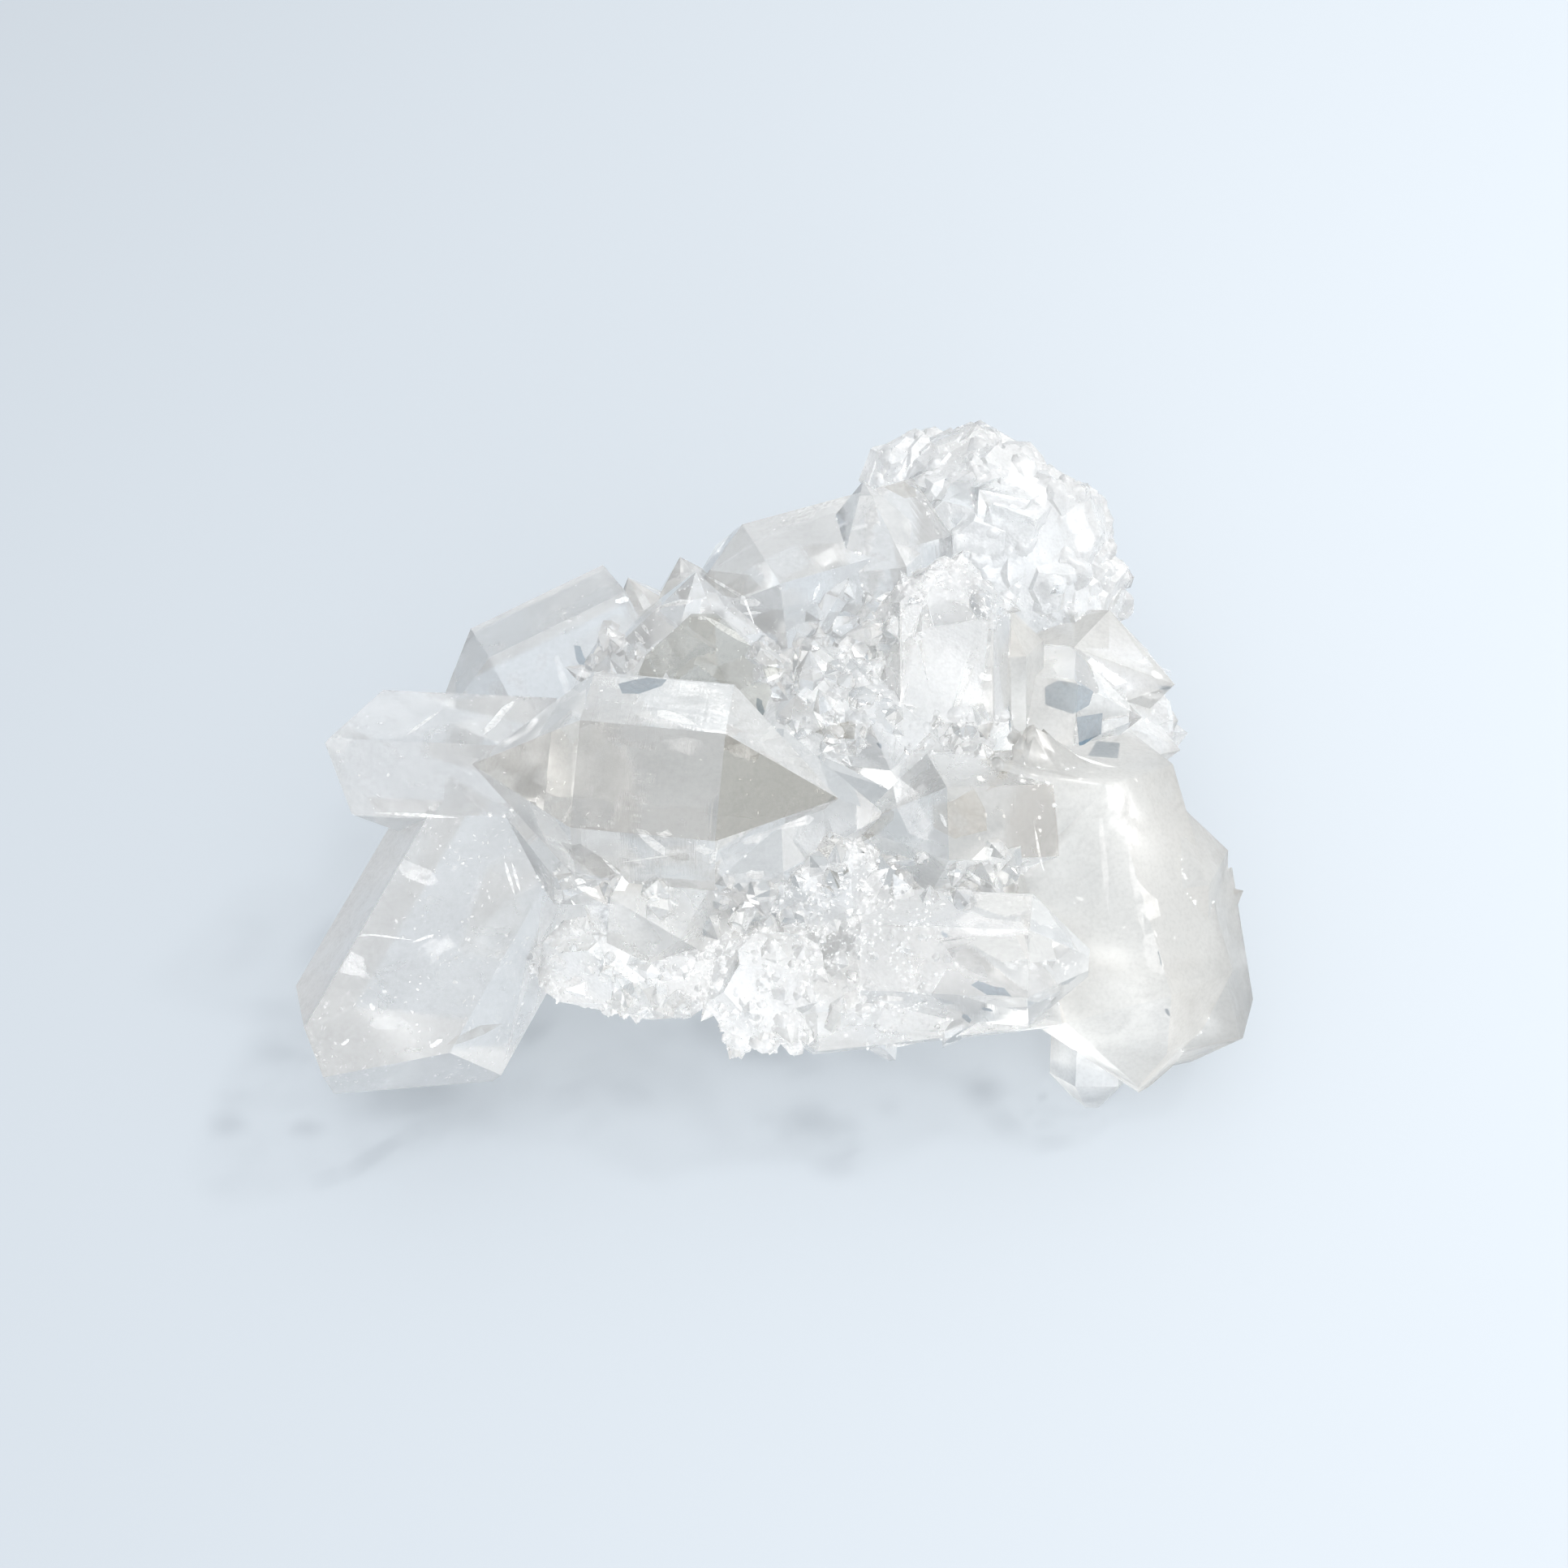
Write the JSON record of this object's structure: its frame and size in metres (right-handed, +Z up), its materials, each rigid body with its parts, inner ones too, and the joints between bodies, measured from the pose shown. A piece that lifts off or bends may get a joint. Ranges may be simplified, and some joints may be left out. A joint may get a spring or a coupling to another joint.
{
  "type": "quartz crystal cluster",
  "caption": "Hand-sized cluster of clear quartz: intergrown six-sided points over a sugary crust, resting on a flat broken base.",
  "frame": {"origin": "centre of the bounding box at the surface that the cluster rests on", "axes": "+X along the cluster's length, towards the tallest crust; +Z up from the resting face; -Y towards the side with the large double-ended crystal"},
  "size_m": [0.108, 0.0864, 0.0483],
  "materials": {
    "clear_quartz": "glossy natural crystal faces, cloudy within"
  },
  "bodies": {
    "root": {"quartz_cluster": "clear_quartz"}
  },
  "joints": []
}
